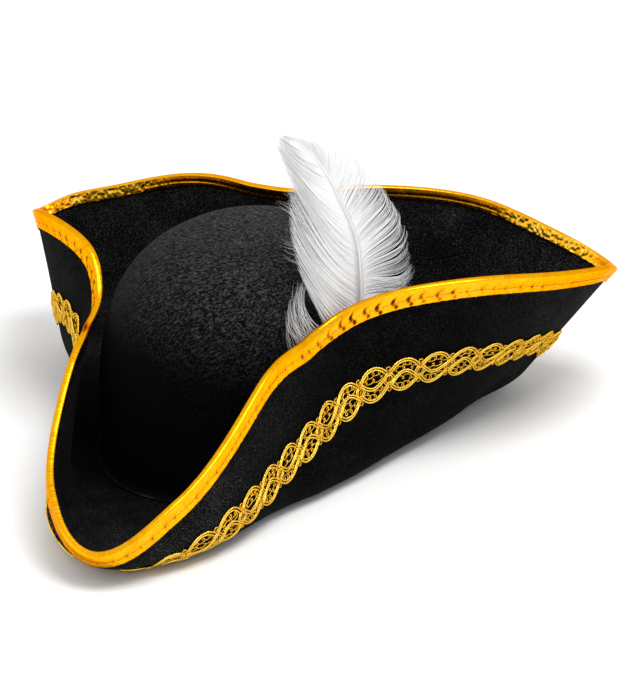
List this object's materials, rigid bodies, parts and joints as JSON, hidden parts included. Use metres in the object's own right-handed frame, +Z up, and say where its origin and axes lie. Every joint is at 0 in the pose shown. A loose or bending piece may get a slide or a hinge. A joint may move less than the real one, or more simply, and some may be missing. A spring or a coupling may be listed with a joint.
{
  "type": "tricorn hat",
  "caption": "Black felt tricorn hat with a domed crown, a brim turned up on three sides, gold ribbon edging, gold scalloped braid and a white plume.",
  "frame": {"origin": "on the surface the hat rests on, under the middle of the hat's box", "axes": "+Z up out of the crown, -Y towards the front corner, +X towards the wearer's left, where the plume stands"},
  "size_m": [0.3646, 0.3542, 0.1959],
  "materials": {
    "crown_felt": "matt pressed felt, lightly crinkled",
    "brim_felt": "matt fine felt",
    "gold_ribbon": "shiny metallic ribbon, machine stitched",
    "gold_braid": "metallic gimp cord",
    "white_plume": "soft feather barbs"
  },
  "bodies": {
    "root": {"crown": "crown_felt", "brim": "brim_felt", "edge_binding": "gold_ribbon", "braid_trim": "gold_braid", "feather": "white_plume"}
  },
  "joints": []
}
